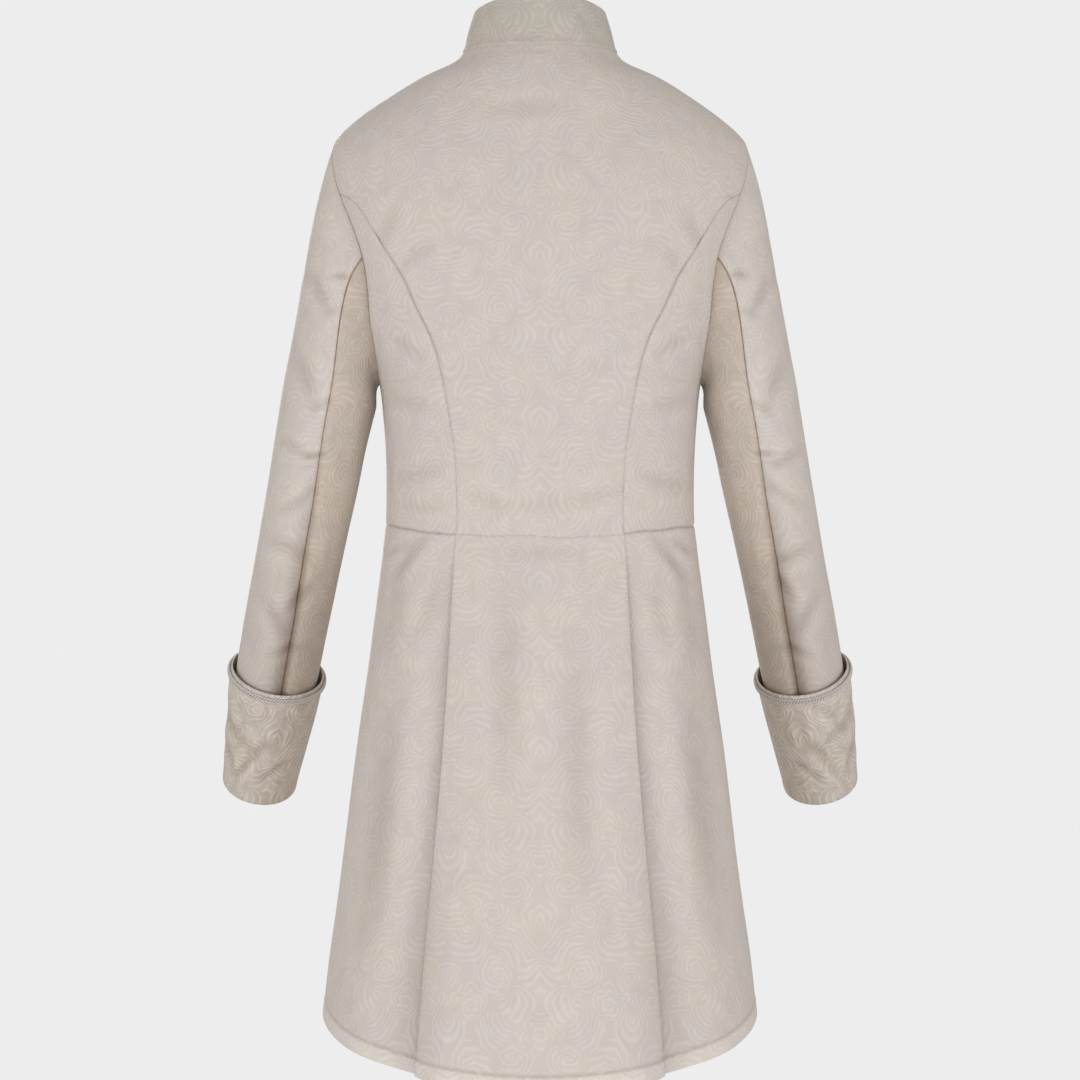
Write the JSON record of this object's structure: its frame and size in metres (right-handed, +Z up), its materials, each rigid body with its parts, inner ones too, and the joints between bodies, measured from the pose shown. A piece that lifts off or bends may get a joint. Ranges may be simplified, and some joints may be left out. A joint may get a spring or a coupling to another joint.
{
  "type": "long coat",
  "caption": "Long fitted coat with a stand collar, princess seams, a waist seam, a pleated flared skirt and turned-back braided cuffs, in worn shape.",
  "frame": {"origin": "centre of the neck opening, level with the neck seam at its sides", "axes": "+Z up, the coat faces -Y, the wearer's left is +X"},
  "size_m": [0.6642, 0.3974, 1.0385],
  "materials": {
    "brocade": "ivory jacquard brocade with a tone on tone scrolling leaf and flower pattern, soft satin sheen",
    "gimp": "twisted white gimp braid",
    "button": "buttons covered in plain ivory cloth"
  },
  "bodies": {
    "root": {"back": "brocade", "side_back_left": "brocade", "side_back_right": "brocade", "front_left": "brocade", "front_right": "brocade", "collar": "brocade", "skirt_back": "brocade", "skirt_side_left": "brocade", "skirt_side_right": "brocade", "skirt_front_left": "brocade", "skirt_front_right": "brocade", "sleeve_upper_left": "brocade", "sleeve_upper_right": "brocade", "sleeve_under_left": "brocade", "sleeve_under_right": "brocade", "cuff_left": "brocade", "cuff_right": "brocade", "cuff_braid_left": "gimp", "cuff_braid_right": "gimp", "button_1": "button", "button_2": "button", "button_3": "button", "button_4": "button", "button_5": "button", "button_6": "button"}
  },
  "joints": []
}
